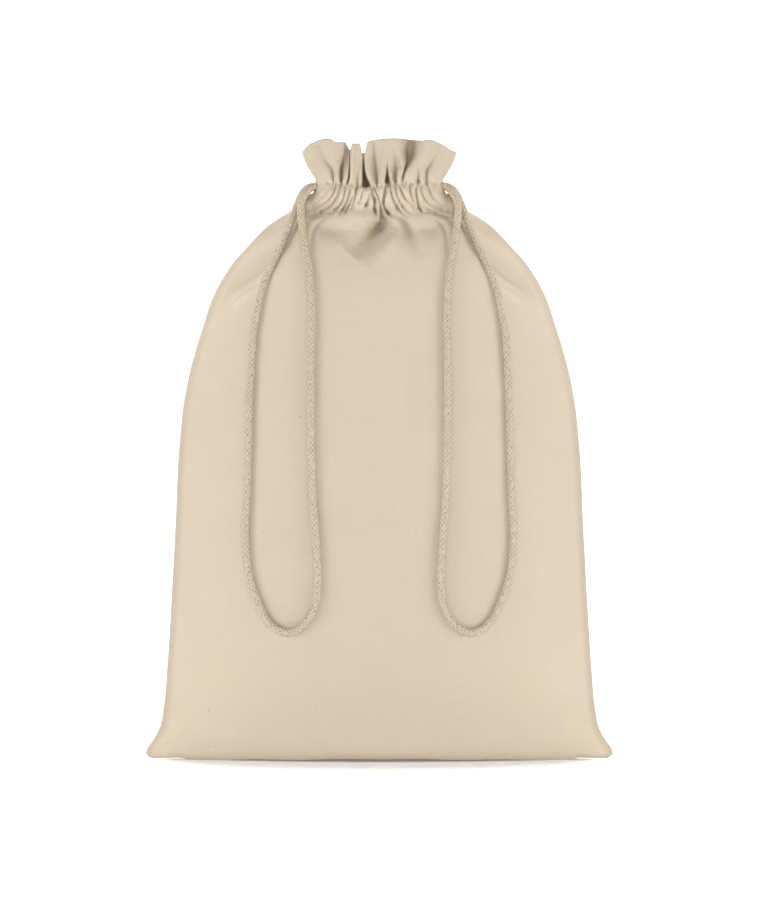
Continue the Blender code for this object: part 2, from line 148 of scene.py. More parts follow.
# A fold so deep that little light gets into it; its shade is also painted into the cloth's colour.
SHADED = [
    [(20.6, 404, 10.0, 5.6), (19.6, 396, 11.5, 5.2), (18.9, 390, 12.0, 4.4), (18.4, 385.6, 8.6, 2.9),
     (17.5, 382.4, 5.6, 1.7), (16.6, 379.5, 3.0, 1.0)],
]
CASING_FOLDS = [
    [(-32, 368.5, 0.8, 2.0), (-35.5, 364, 1.6, 2.2), (-40, 358.6, 1.8, 2.0), (-46, 355.4, 1.0, 2.0)],
    [(-27.6, 370, 2.0, 0.9), (-28.8, 365.6, 3.2, 1.0), (-31.2, 361, 3.2, 1.2), (-36.6, 356.2, 3.0, 1.6),
     (-43, 354.2, 2.4, 1.8), (-50, 352.6, 1.2, 2.4)],
    [(-24.6, 369, 2.0, 0.8), (-26.2, 363.6, 3.2, 1.0), (-28.2, 359.6, 3.6, 1.1), (-31.6, 355.6, 4.2, 1.3),
     (-38.4, 352.2, 4.0, 1.9), (-46, 350.2, 3.0, 2.6), (-53, 348.6, 1.4, 3.0)],
    [(-21.6, 368, 2.6, 0.8), (-22.9, 361, 3.6, 0.9), (-25.2, 356.4, 4.4, 1.0), (-29.4, 352.8, 3.4, 1.5),
     (-36, 350.6, 2.0, 2.2), (-43, 348.5, 0.8, 2.6)],
    [(-18.6, 366.5, 2.2, 0.8), (-19.9, 361, 4.0, 0.9), (-22.2, 356, 5.0, 1.0), (-24.4, 352.6, 3.4, 1.1),
     (-26, 350, 0.6, 1.2)],
    [(-17.0, 362, 2.4, 0.8), (-18.9, 357.4, 4.4, 0.9), (-21.0, 353.4, 4.6, 1.0), (-22.2, 350.6, 0.8, 1)],
    [(-13.8, 368.5, 4.0, 0.9), (-14.6, 366.8, 4.4, 0.9), (-15.4, 362, 3.6, 0.8), (-16.9, 356.6, 3.0, 0.9),
     (-17.8, 352.4, 0.6, 1.0)],
    [(-10.4, 366.5, 1.6, 0.8), (-11.6, 361, 2.2, 0.8), (-12.6, 357.5, 1.0, 0.9)],
    [(-6.6, 363.5, 1.6, 0.9), (-7.0, 360, 3.2, 0.9), (-7.8, 357.4, 4.4, 1.2), (-9.5, 355, 0.8, 1.2)],
    [(-5.4, 367.5, 3.4, 0.9), (-4.4, 363, 4.6, 1.0), (-3.0, 359.4, 7.0, 1.1), (-3.2, 355.6, 4.4, 0.9),
     (-3.0, 353, 6.4, 1.2), (-2.0, 349.4, 2.4, 1.1), (-0.6, 346, 0.6, 1)],
    [(-3.6, 368, 2.4, 0.7), (-1.6, 363.4, 3.6, 0.8), (0.2, 358.6, 5.0, 0.9), (1.0, 352, 5.4, 1.0),
     (0.9, 347.5, 5.0, 1.4), (0.6, 343, 2.0, 2.2)],
    [(3.9, 368.5, 2.6, 0.8), (2.9, 361.6, 5.0, 0.9), (2.6, 358, 7.0, 1.0), (3.4, 355, 4.4, 1.0),
     (5.2, 351.6, 8.0, 1.4), (8.4, 349.4, 2.0, 1.3)],
    [(6.6, 369, 2.6, 0.9), (7.9, 362.4, 3.6, 0.9), (10.4, 356.4, 4.0, 1.1), (14.6, 351.0, 3.0, 1.3),
     (19, 348.4, 0.5, 2)],
    [(9.8, 368, 2.6, 0.8), (11.5, 361.6, 3.2, 0.9), (14.3, 356.2, 3.4, 1.0), (17.6, 352.8, 2.0, 1.3),
     (22, 350.4, 0.4, 1.6)],
    [(13.0, 369, 3.0, 0.9), (14.9, 363, 3.4, 1.0), (17.4, 359, 3.0, 1.0), (21, 356.6, 1.6, 1.2),
     (24, 355.6, 0.4, 1.2)],
    [(19.4, 369, 2.0, 0.9), (19.9, 364, 2.6, 0.9), (21.4, 359.4, 2.6, 0.9), (23.4, 356, 1.2, 1.2)],
    [(23.4, 368, 1.6, 0.8), (23.7, 362.6, 3.4, 0.9), (25.0, 357, 4.4, 1.0), (26.6, 353, 3.0, 1.1),
     (28, 350.6, 0.6, 1.2)],
    [(26.6, 369, 1.6, 0.8), (27.2, 364, 2.6, 0.9), (29.4, 359.2, 3.4, 1.1), (34, 355.6, 3.2, 1.5),
     (41, 353.6, 2.4, 1.9), (48, 352.4, 1.2, 2.4)],
    [(30.6, 369.6, 1.8, 1.0), (32.2, 364.6, 2.8, 1.1), (34.8, 360.2, 3.0, 1.4), (39.6, 357.2, 2.2, 1.8),
     (45, 355.6, 1.0, 2.0)],
    [(29.0, 355, 2.0, 1.1), (33.4, 352.4, 3.6, 1.6), (40, 350.6, 3.6, 2.2), (47, 349, 2.4, 2.8),
     (54, 347.6, 1.2, 3.0)],
    # the sharp edge of the fold under the neck, and the edge of the puff at its right
    [(1.4, 351, 1.6, 0.9), (1.6, 348.4, 3.4, 1.1), (1.3, 345.6, 4.8, 1.5), (-0.4, 342.2, 5.0, 2.0),
     (-3.4, 338.6, 3.2, 2.6), (-8, 335, 0.8, 3.0)],
    [(2.8, 350.4, -0.8, 1.1), (6.1, 348.8, -2.0, 1.3), (9.3, 347.2, -2.2, 1.5), (12.4, 345.4, -1.6, 1.6),
     (13.2, 341.6, -0.4, 1.8)],
]
BODY_FOLDS = [
    # the broad fold under the neck, and the puff of cloth beside it
    [(1.6, 350, 3.0, 1.6), (3.4, 346.5, 9.0, 3.2), (2.4, 342.6, 14.0, 5.2), (-3.2, 338, 12.5, 7.2),
     (-10, 333, 9.4, 9.0), (-15.5, 329, 6.2, 9.4), (-19.5, 325, 1.2, 7)],
    [(-8, 353, -1.0, 4.0), (-9.5, 347.5, -1.6, 5.0), (-15, 341, -0.6, 5.0), (-22, 334, 0, 5)],
    [(10, 345, -0.2, 4.0), (9.5, 336, -2.0, 5.5), (3, 327, -1.6, 7.0), (-6, 318, 0, 6)],
    # the second fold, at its right
    [(10.5, 350.5, 2.0, 1.4), (14.0, 346, 6.0, 2.6), (16.6, 341, 8.0, 4.2), (20, 335, 5.0, 5.6),
     (24, 328, 1.8, 6.0), (28, 322, 0, 5)],
    # soft hollows under the casing
    [(-44, 345, 1.0, 4.0), (-33, 341.5, 4.6, 6.0), (-24, 340, 3.6, 5.5), (-15, 341.5, 3.2, 5.0),
     (-8, 344, 1.0, 4.0)],
    [(44, 345.4, 1.0, 4.0), (34, 342, 4.2, 6.0), (26, 341, 2.4, 5.0)],
    [(-33, 349, 0.2, 1.5), (-39, 345.6, 1.4, 1.8), (-42.5, 339, 1.6, 2.0), (-43.6, 328, 0.6, 2.4)],
    [(33, 349, 0.2, 1.5), (39, 345.6, 1.4, 1.8), (42.5, 339, 1.6, 2.0), (43.6, 328, 0.6, 2.4)],
    # shoulders
    [(-51, 352, 2.5, 2.5), (-56, 341, 4.0, 4.0), (-59.5, 331, 3.0, 5.0), (-64, 324.5, 2.6, 5.0),
     (-72, 318.0, 4.6, 5.0), (-82, 310.4, 5.4, 5.4), (-89, 305, 5.0, 5.2), (-96, 298, 2.8, 5.0),
     (-104, 288, 0, 5)],
    [(-61, 344, 1.6, 3.4), (-69, 336.5, 2.4, 4.0), (-80, 329, 0.3, 3.5)],
    [(-73, 307, 0.0, 1.6), (-79, 303.6, 1.4, 1.6), (-88.5, 297.3, 1.8, 1.7), (-98, 289, 0.0, 1.8)],
    [(51, 352, 2.5, 2.5), (56, 341, 4.0, 4.0), (59.5, 331, 3.0, 5.0), (64, 324.5, 2.6, 5.0),
     (72, 318.0, 4.6, 5.0), (82, 310.4, 5.2, 5.4), (89, 305, 4.8, 5.2), (96, 298, 2.8, 5.0),
     (104, 288, 0, 5)],
    [(61, 344, 1.6, 3.4), (69, 336.5, 2.4, 4.0), (80, 329, 0.3, 3.5)],
    [(73, 307, 0.0, 1.6), (79, 303.6, 1.3, 1.6), (88.5, 297.3, 1.7, 1.7), (98, 289, 0.0, 1.8)],
    # bottom corners
    [(-146, 6, 0.3, 1.6), (-134, 14, 1.1, 3.0), (-122, 26, 0.7, 5.0), (-112, 42, 0, 6)],
    [(-141, 2, 0.3, 1.4), (-128, 7, 1.2, 2.6), (-114, 11, 0.6, 4.0), (-100, 14, 0, 5)],
    [(146, 6, 0.3, 1.6), (134, 14, 1.1, 3.0), (122, 26, 0.7, 5.0), (112, 42, 0, 6)],
    [(141, 2, 0.3, 1.4), (128, 7, 1.2, 2.6), (114, 11, 0.6, 4.0), (100, 14, 0, 5)],
]
# Every group of folds, with the sharpness of their sides.
GAP_SHARPNESS, SHADED_SHARPNESS = 3.0, 1.6
FOLD_GROUPS = [
    (FRILL_FOLDS, 1.25), (CASING_FOLDS, 1.3), (BODY_FOLDS, 1.7), (GAPS, GAP_SHARPNESS), (SHADED, SHADED_SHARPNESS)]

# Left cord outside the casings, as x, y, z: out in front, down, round and up to the back.
FRONT_EXIT = [(-41.2, -5.6, 369.2), (-43.9, -7.2, 368.0), (-46.3, -9.4, 365.8)]
FRONT_LEAD = [(-48.3, -11.6, 362.8), (-49.9, -13.8, 358.6), (-50.6, -15.6, 353.6), (-49.3, -19.5, 340.0)]
LOOP = [
    (-47.2, -25.2, 326.0), (-44.6, -31.3, 311.5), (-43.4, -36.0, 295.0), (-43.0, -39.8, 279.0),
    (-43.4, -43.8, 258.0), (-43.6, -46.8, 237.0), (-43.2, -49.4, 205.0), (-42.4, -50.0, 173.0),
    (-40.6, -50.1, 147.0), (-39.4, -49.0, 128.0), (-39.6, -47.5, 106.0), (-46.2, -44.7, 90.0),
    (-57.8, -41.6, 83.2), (-70.4, -39.3, 89.6), (-79.2, -38.8, 107.0), (-83.8, -38.2, 124.0),
    (-85.3, -38.9, 147.0), (-84.2, -39.4, 173.0), (-83.3, -39.2, 205.0), (-82.5, -36.8, 237.0),
    (-81.5, -33.8, 258.0), (-80.4, -31.0, 274.0), (-77.7, -28.1, 290.0), (-74.4, -24.6, 305.0)]
BACK_LEAD = [(-69.7, -22.4, 316.0), (-63.0, -18.4, 331.0), (-57.4, -14.2, 344.0), (-53.2, -9.4, 356.0)]
BACK_EXIT = [(-50.6, -6.6, 362.2), (-48.6, -3.6, 365.9), (-46.2, 0.6, 368.2), (-43.8, 4.0, 369.4)]
BACK_MOUTH = (-43.2, 5.4, 369.3)
CROSSING = [(46.8, 4.4, 362.0), (48.6, 2.8, 361.6), (49.4, 0.0, 361.6), (48.6, -2.8, 361.6)]
FRONT_MOUTH = (46.8, -4.4, 362.0)

COTTON = (0.549, 0.465, 0.358)
CORD_COTTON = (0.560, 0.470, 0.359)
THREAD_COTTON = (0.70, 0.60, 0.475)


# ---------------------------------------------------------------- curves and fields

def smooth_through(at, knots):
    """Values at `at` of a smooth curve through knots, rows of (position, value...)."""
    knots = np.asarray(knots, float)
    x, values = knots[:, 0], knots[:, 1:]
    steps = np.diff(x)[:, None]
    slopes = np.diff(values, axis=0) / steps
    inner = (slopes[:-1] * steps[1:] + slopes[1:] * steps[:-1]) / (steps[:-1] + steps[1:])
    inner = np.where(slopes[:-1] * slopes[1:] > 0, inner, 0)
    tangents = np.vstack([slopes[:1], inner, slopes[-1:]])
    at = np.clip(np.asarray(at, float), x[0], x[-1])
    i = np.clip(np.searchsorted(x, at, side="right") - 1, 0, len(x) - 2)
    t = ((at - x[i]) / steps[i, 0])[..., None]
    h = steps[i]
    found = ((2 * t**3 - 3 * t**2 + 1) * values[i] + (t**3 - 2 * t**2 + t) * h * tangents[i]
             + (3 * t**2 - 2 * t**3) * values[i + 1] + (t**3 - t**2) * h * tangents[i + 1])
    return np.moveaxis(found, -1, 0)


def spline(points, step, closed=False):
    """Points about `step` apart along a smooth curve through points, and each knot's place among them."""
    points = np.asarray(points, float)
    count = len(points)
    found, places = [], []
    for i in range(count if closed else count - 1):
        near = [(i + k) % count if closed else min(max(i + k, 0), count - 1) for k in (-1, 0, 1, 2)]
        before, start, end, after = points[near]
        places.append(len(found))
        pieces = max(1, round(float(np.linalg.norm(end - start)) / step))
        out, into = (end - before) / 2, (after - start) / 2
        for t in np.arange(pieces) / pieces:
            found.append((2 * t**3 - 3 * t**2 + 1) * start + (t**3 - 2 * t**2 + t) * out
                         + (3 * t**2 - 2 * t**3) * end + (t**3 - t**2) * into)
    if not closed:
        places.append(len(found))
        found.append(points[-1])
    return np.array(found), places


def fold_depth(x, z, folds, sharp):
    """How far folds draw the cloth in at x, z."""
    total = np.zeros_like(x)
    for fold in folds:
        track = spline(fold, 2.5)[0]
        reach = 3.2 * track[:, 3].max()
        low, high = track[:, :2].min(0) - reach, track[:, :2].max(0) + reach
        near = (x > low[0]) & (x < high[0]) & (z > low[1]) & (z < high[1])
        if not near.any():
            continue
        px, pz = x[near], z[near]
        nearest = np.full(px.shape, np.inf)
        dip = np.zeros(px.shape)
        for a, b in zip(track[:-1], track[1:]):
            along = b[:2] - a[:2]
            dot = (px - a[0]) * along[0] + (pz - a[1]) * along[1]
            t = np.clip(dot / max(along @ along, 1e-9), 0, 1)
            gap = np.hypot(px - a[0] - t * along[0], pz - a[1] - t * along[1])
            depth = a[2] + t * (b[2] - a[2])
            width = np.maximum(a[3] + t * (b[3] - a[3]), 0.3)
            closer = gap < nearest
            nearest = np.where(closer, gap, nearest)
            dip = np.where(closer, depth * np.exp(-(gap / width) ** sharp), dip)
        total[near] += dip
    return total


def waves(x, z, seed, size, count=7):
    """Gentle unevenness: a few crossed sine waves about `size` long."""
    rng = np.random.default_rng(seed)
    total = np.zeros_like(x)
    for _ in range(count):
        angle, phase = rng.uniform(0, math.tau, 2)
        length = size * rng.uniform(0.7, 1.6)
        total += np.sin((x * math.cos(angle) + z * math.sin(angle)) * math.tau / length + phase)
    return total / count


def section(z):
    """Half width, half depth and sharpness of the bag's section at z."""
    return smooth_through(z, BODY)


def stitch_height(x, row):
    """A hand-guided row of stitching wavers a little."""
    return smooth_through(x, row)[0] + 0.5 * np.sin(x * 0.83) + 0.3 * np.sin(x * 0.37)


def casing_relief(seen, z):
    """The casing stands proud of the cloth, and each row of stitching draws it in."""
    relief = 1.7 * np.exp(-((z - CASING_MIDDLE) / CASING_HALF_HEIGHT) ** 4)
    for row in (UPPER_ROW, LOWER_ROW):
        pull = 0.9 + 0.7 * np.sin(seen * 1.3)
        relief -= pull * np.exp(-((z - stitch_height(seen, row)) / 1.2) ** 2)
    return relief


def surface(x, z, side):
    """Distance of the cloth from y = 0 at x, z: in front for side -1, behind for side 1."""
    half_width, half_depth, sharpness = section(z)
    slit = smooth_through(z, SLIT)[0]
    across = np.clip(1 - (x / half_width) ** 2, 0, 1)
    edge = np.clip(across * 6, 0, 1)  # folds and unevenness fade out at the side seams
    seen = x if side < 0 else -x
    folds = sum(fold_depth(seen, z, group, sharp) for group, sharp in FOLD_GROUPS)
    crumple = 0.45 * waves(seen * 2.2, z, 21, 9, 9) + 0.25 * waves(seen * 1.3, z, 33, 4.6, 9)
    crumple *= np.exp(-((z - 362) / 10) ** 2)
    near_neck = np.clip((z - 330) / 30, 0, 1)
    uneven = 0.55 * waves(seen, z, 5 if side < 0 else 9, 95) + 0.12 * waves(seen, z, 11, 27)
    shape = ((casing_relief(seen, z) + crumple) * np.clip(across * 3, 0, 1)
             + (uneven * (1 - 0.7 * near_neck) - folds) * edge)
    depth = half_depth * across**sharpness + shape * np.clip(z / 8, 0, 1)
    room = 3.2 + 3.7 * (1 - across)  # half the height that the cords need inside the casing
    cords = (3.4 + 6.4 * across) * edge * np.exp(-((z - RUN_HEIGHT) / room) ** 8)
    least = 0.3 * np.clip(across * 20, 0, 1) * near_neck
    return slit + np.maximum(depth, np.maximum(cords, least))


# ---------------------------------------------------------------- meshes

def add_mesh(name, points, faces, flat=None):
    """A smooth mesh of points in millimetres. flat, the cloth's own coordinates, is its UV map."""
    mesh = bpy.data.meshes.new(name)
    mesh.from_pydata((np.asarray(points) * MM).tolist(), [], faces)
    mesh.polygons.foreach_set("use_smooth", [True] * len(mesh.polygons))
    if flat is not None:
        layer = mesh.uv_layers.new(name="cloth")
        corner = np.empty(len(mesh.loops), int)
        mesh.loops.foreach_get("vertex_index", corner)
        layer.data.foreach_set("uv", (flat.reshape(-1, 2)[corner] * MM).ravel())
    obj = bpy.data.objects.new(name, mesh)
    bpy.context.scene.collection.objects.link(obj)
    return obj


def add_grid(name, points, flat):
    """A mesh of quads through a grid of points."""
    rows, columns = points.shape[:2]
    index = np.arange(rows * columns).reshape(rows, columns)
    quads = np.stack([index[:-1, :-1], index[:-1, 1:], index[1:, 1:], index[1:, :-1]], -1)
    return add_mesh(name, points.reshape(-1, 3), quads.reshape(-1, 4).tolist(), flat)


def set_attribute(obj, name, values):
    attribute = obj.data.attributes.new(name, "FLOAT", "POINT")
    attribute.data.foreach_set("value", values.astype(np.float32).ravel())


def blurred(rows, reach):
    """Each row's running mean over `reach` columns to either side."""
    sums = np.cumsum(np.pad(rows, ((0, 0), (reach + 1, reach)), mode="edge"), axis=1)
    return (sums[:, 2 * reach + 1:] - sums[:, :-2 * reach - 1]) / (2 * reach + 1)


def apply_modifiers(obj):
    """Makes the mesh final, as its modifiers leave it."""
    graph = bpy.context.evaluated_depsgraph_get()
    mesh = bpy.data.meshes.new_from_object(
        obj.evaluated_get(graph), preserve_all_data_layers=True, depsgraph=graph)
    obj.modifiers.clear()
    obj.data = mesh


def cloth_heights():
    """Heights of the mesh rows up to the frill's foot, closer together where the cloth is gathered."""
    runs = ((0, 6, 8), (6, 36, 15), (36, 276, 80), (276, 318, 30), (318, FRILL_FOOT, 95))
    return np.concatenate([np.linspace(a, b, n, endpoint=False) for a, b, n in runs])


def crevices(seen, y, z):
    """Painted shade for the cloth's colour: how far light is kept out, 0 on open cloth, 1 deep in a gap."""
    hollow = 0.42 * np.clip((blurred(y, 11) - y - 0.2) / 3.0, 0, 1)
    gaps = np.clip((fold_depth(seen, z, GAPS, GAP_SHARPNESS) - 7) / 8, 0, 1)
    shaded = 0.22 * np.clip((fold_depth(seen, z, SHADED, SHADED_SHARPNESS) - 2) / 6, 0, 1)
    return np.maximum(np.maximum(hollow, gaps), shaded) * np.clip((z - 345) / 6, 0, 1)


def hems(x, z, below_top):
    """Where the cloth is doubled and looks darker: side seams, bottom seam and the frill's turned edge; the
    darkening is partly the doubled cloth's warmer tone and partly painted shade at the edges.
    """
    sides = np.clip((np.abs(x) - section(z)[0] + 6.0) / 4.0, 0, 1) * (z < SLIT_FOOT)
    found = np.maximum(sides, np.clip((5.5 - z) / 6, 0, 1))
    found[-FRILL_ROWS:] = 0.7 * np.clip(1.4 - below_top / 0.9, 0, 1)
    return found


# Painted light and shade: the cloth's colour is scaled by height, and made lighter towards the sides above the
# bottom.
def painted_light(x, z):
    outer = np.clip((np.abs(x) - 40) / 60, 0, 1)
    return smooth_through(z, PAINTED_LIGHT_BY_HEIGHT)[0] * (1 + 0.06 * outer * np.clip(z / 50, 0, 1))


def cloth(name, side, outline):
    """One cloth, front or back: base, body, casing and frill in one continuous sheet."""
    turn = np.linspace(-1, 1, COLUMNS)
    across = 0.45 * np.sin(turn * math.pi / 2) + 0.55 * turn
    up = np.repeat(cloth_heights()[:, None], COLUMNS, 1)
    part = np.linspace(0, 1, FRILL_ROWS)[:, None]
    frill = np.full((FRILL_ROWS, COLUMNS), FRILL_FOOT)
    for _ in range(4):  # the width depends on the height, and the top edge on the width
        top = smooth_through(across * section(frill)[0], outline)[0]
        frill = FRILL_FOOT + part * (top - FRILL_FOOT)
    z = np.vstack([up, frill])
    x = across * section(z)[0]
    y = surface(x, z, side)
    # attributes that carry painted shade in creases, the seams' tone and shade, and painted light and shade by
    # height
    shades = {"crevice_shade": crevices(-side * x, y, z), "hem_tone_and_shade": hems(x, z, top - frill), "painted_light": painted_light(x, z)}
    z = z + smooth_through(np.abs(x), BOTTOM_LIFT)[0] * np.exp(-z / 6)

    inward = np.linspace(0, 1, BASE_ROWS, endpoint=False)[:, None]
    first = {key: np.repeat(values[:1], BASE_ROWS, 0) for key, values in (("x", x), ("z", z))}
    x, y, z = np.vstack([first["x"], x]), np.vstack([y[:1] * inward, y]), np.vstack([first["z"], z])
    points = np.stack([x, side * y, z], -1)
    lengths = np.linalg.norm(np.diff(points, axis=0), axis=2).mean(axis=1)
    v = np.concatenate([[0], np.cumsum(lengths)])
    flat = np.stack(np.broadcast_arrays(across[None, :] * HALF_CUT_WIDTH, v[:, None]), -1)
    order = slice(None, None, -side)  # so that the faces look outwards
    obj = add_grid(name, points[:, order], flat[:, order])
    for key, values in shades.items():
        values = np.vstack([np.repeat(values[:1], BASE_ROWS, 0), values])
        set_attribute(obj, key, values[:, order])
    thick = obj.modifiers.new("thickness", "SOLIDIFY")
    thick.thickness = CLOTH_THICK * MM
    thick.offset = -1
    apply_modifiers(obj)
    return obj


def frames_along(path):
    """Unit tangents and two normals along a path, turning as little as they can."""
    tangents = np.gradient(path, axis=0)
    tangents /= np.linalg.norm(tangents, axis=1, keepdims=True)
    normal = np.cross(tangents[0], (0.0, 0.3, 1.0))
    first = [normal / np.linalg.norm(normal)]
    for t in tangents[1:]:
        n = first[-1] - t * (first[-1] @ t)
        first.append(n / np.linalg.norm(n))
    first = np.array(first)
    return tangents, first, np.cross(tangents, first)


def braid_height(turn, along):
    """Height of a braid's surface, 0 to 1: two families of strands that pass over and under each other."""
    p = (BRAID_STRANDS * turn + math.tau * along / BRAID_STEP) / 2
    q = (BRAID_STRANDS * turn - math.tau * along / BRAID_STEP) / 2
    over = 0.30 * np.cos(p) * np.cos(q)
    return np.maximum(0.78 * np.abs(np.cos(p)) ** 1.4 + over, 0.78 * np.abs(np.cos(q)) ** 1.4 - over)


def braided(name, path, frames, lengths):
    """A braided cord along part of a route, closed at both ends."""
    radius, sides = CORD_DIAMETER / 2, CORD_SIDES
    _, first, second = frames
    turn = np.linspace(0, math.tau, sides, endpoint=False)
    height = braid_height(turn[None, :], lengths[:, None])
    reach = radius * (0.77 + 0.26 * height)
    ring = (np.cos(turn)[None, :, None] * first[:, None] + np.sin(turn)[None, :, None] * second[:, None])
    points = path[:, None] + ring * reach[..., None]
    count = len(path)
    index = np.arange(count * sides).reshape(count, sides)
    quads = np.stack([index[:-1], np.roll(index[:-1], -1, 1), np.roll(index[1:], -1, 1), index[1:]], -1)
    faces = quads.reshape(-1, 4).tolist() + [tuple(index[0][::-1]), tuple(index[-1])]
    flat = np.stack(np.broadcast_arrays(turn[None, :] * radius, lengths[:, None]), -1)
    obj = add_mesh(name, points.reshape(-1, 3), faces, flat)
    set_attribute(obj, "height", height)
    return obj


# ---------------------------------------------------------------- materials

class Nodes:
    """Adds and links shader nodes with little writing."""

    def __init__(self, material):
        material.use_nodes = True
        self.tree = material.node_tree
        self.shader = self.tree.nodes["Principled BSDF"]

    def add(self, kind, inputs=(), **settings):
        node = self.tree.nodes.new("ShaderNode" + kind)
        for key, value in settings.items():
            setattr(node, key, value)
        for socket, value in dict(inputs).items():
            if isinstance(value, bpy.types.NodeSocket):
                self.tree.links.new(value, node.inputs[socket])
            else:
                node.inputs[socket].default_value = value
        return node

    def math(self, operation, a, b=0.0):
        return self.add("Math", {0: a, 1: b}, operation=operation).outputs[0]

    def mix(self, factor, a, b, **settings):
        return self.add("Mix", {0: factor, 6: a, 7: b}, data_type="RGBA", **settings).outputs[2]

    def ramp(self, value, low, high, at_low=0.0, at_high=1.0):
        """Maps low..high to at_low..at_high."""
        return self.add("MapRange", {0: value, 1: low, 2: high, 3: at_low, 4: at_high}).outputs[0]

    def stretched(self, vector, by):
        return self.add("VectorMath", {0: vector, 1: by}, operation="MULTIPLY").outputs[0]

    def noise(self, vector, scale, detail, **inputs):
        return self.add("TexNoise", {"Vector": vector, "Scale": scale, "Detail": detail, **inputs}).outputs[0]

    def attribute(self, name):
        return self.add("Attribute", attribute_name=name).outputs["Fac"]

    def flat(self):
        """The cloth's own flat coordinates, in millimetres."""
        return self.stretched(self.add("UVMap", uv_map="cloth").outputs[0], (1000.0, 1000.0, 1.0))

    def bump(self, strength, distance, height):
        inputs = {"Strength": strength, "Distance": distance, "Height": height}
        self.link(self.add("Bump", inputs).outputs[0], "Normal")

    def link(self, value, socket):
        self.tree.links.new(value, self.shader.inputs[socket])

    def set_sockets(self, **values):
        """Sets the shader's values that are the same all over."""
        for key, value in values.items():
            self.shader.inputs[SOCKETS[key]].default_value = value


SOCKETS = {
    "colour": "Base Color", "roughness": "Roughness", "specular": "Specular IOR Level",
    "sheen": "Sheen Weight", "sheen_roughness": "Sheen Roughness", "emission": "Emission Color"}


def tone(colour, factor, warm=0.0):
    """A colour made lighter or darker, and warmer."""
    return (colour[0] * factor * (1 + warm), colour[1] * factor, colour[2] * factor * (1 - 1.6 * warm), 1)


def cotton_material(name, colour, threads_per_mm, bump, fleck):
    """Unbleached plain-weave cotton: threads, slubs, uneven tone and a few seed flecks, with painted shade in
    creases and at the seams, and painted light and shade by height.
    """
    material = bpy.data.materials.new(name)
    n = Nodes(material)
    place = n.flat()
    split = n.add("SeparateXYZ", {0: place})
    shift = n.math("MULTIPLY", n.noise(place, 0.35, 2.0), 1.5)
    u, v = (n.math("ADD", n.math("MULTIPLY", split.outputs[k], threads_per_mm * math.pi), shift) for k in (0, 1))
    weave = n.math("MULTIPLY", n.math("SINE", u), n.math("SINE", v))
    slub = n.math("ADD", *(n.noise(n.stretched(place, by), 1.0, 3.0)
                           for by in ((1.6, 0.045, 1.0), (0.045, 1.6, 1.0))))
    base = n.mix(n.ramp(slub, 0.7, 1.3), tone(colour, 0.955, 0.004), tone(colour, 1.03))
    cloud = n.ramp(n.noise(place, 0.022, 3.0), 0.35, 0.65)
    base = n.mix(cloud, base, n.mix(0.6, base, tone(colour, 0.97, 0.008)))
    gap = n.ramp(weave, -1.0, 1.0)
    base = n.mix(n.math("MULTIPLY", gap, 0.10), base, tone(colour, 0.80, 0.02))

    spots = n.add("TexVoronoi", {"Vector": place, "Scale": 0.085, "Randomness": 1.0})
    size = n.add("SeparateColor", {0: spots.outputs["Color"]}).outputs[0]
    reach = n.math("MULTIPLY", n.math("SUBTRACT", size, 0.62), 0.155)  # most cells have no fleck
    hit = n.math("LESS_THAN", spots.outputs["Distance"], reach)
    base = n.mix(n.math("MULTIPLY", hit, fleck), base, tone(colour, 0.52, 0.10))

    crevice_shade = n.attribute("crevice_shade")
    # painted shade in creases, gaps and the deep fold: the colour is darkened and warmed there
    base = n.mix(n.math("MULTIPLY", crevice_shade, 0.92), base, tone(colour, 0.27, 0.28))
    # partly painted shade: darker, warmer strips along the seams and the frill's turned edge, where the cloth is
    # doubled
    base = n.mix(n.math("MULTIPLY", n.attribute("hem_tone_and_shade"), 0.8), base, tone(colour, 0.80, 0.012))
    # painted light and shade, by height and towards the sides, multiplied into the colour
    n.link(n.mix(1.0, base, n.attribute("painted_light"), blend_type="MULTIPLY"), "Base Color")
    # less sheen where shade is painted, so the painted shade stays warm
    n.link(n.math("MULTIPLY", n.math("SUBTRACT", 1.0, crevice_shade), 0.16), "Sheen Weight")
    n.set_sockets(roughness=0.88, specular=0.25, sheen_roughness=0.55)
    n.bump(bump, 0.00012, n.math("ADD", n.math("MULTIPLY", weave, 0.5), n.math("MULTIPLY", slub, 0.9)))
    return material


def cord_material():
    """Braided cotton yarn: fine fibres along each strand, and painted shade that darkens it between the strands."""
    material = bpy.data.materials.new("braided_cord")
    n = Nodes(material)
    place = n.flat()
    fibre = n.noise(place, 5.0, 4.0, Roughness=0.7)
    base = n.mix(n.ramp(fibre, 0.3, 0.7), tone(CORD_COTTON, 0.90, 0.006), tone(CORD_COTTON, 1.05))
    cloud = n.math("MULTIPLY", n.noise(place, 0.12, 2.0), 0.35)
    base = n.mix(cloud, base, tone(CORD_COTTON, 0.92, 0.012))
    # painted shade between the strands, patchy along the cord
    painted_groove_shade = n.ramp(n.attribute("height"), 0.30, 0.90, 0.88, 0.0)
    uneven = n.ramp(n.noise(place, 0.40, 1.0), 0.35, 0.62, 0.15, 1.0)
    n.link(n.mix(n.math("MULTIPLY", painted_groove_shade, uneven), base, tone(CORD_COTTON, 0.5, 0.05)), "Base Color")
    n.set_sockets(roughness=0.9, specular=0.25, sheen=0.25, sheen_roughness=0.5)
    n.bump(0.5, 0.0002, fibre)
    return material


def thread_material():
    """Cotton sewing thread with a fine twist."""
    material = bpy.data.materials.new("thread")
    n = Nodes(material)
    twist = n.noise(n.add("TexCoord").outputs["Object"], 2500.0, 2.0)
    n.link(n.mix(twist, tone(THREAD_COTTON, 0.9), tone(THREAD_COTTON, 1.05)), "Base Color")
    n.set_sockets(roughness=0.75)
    n.bump(0.4, 0.0001, twist)
    return material


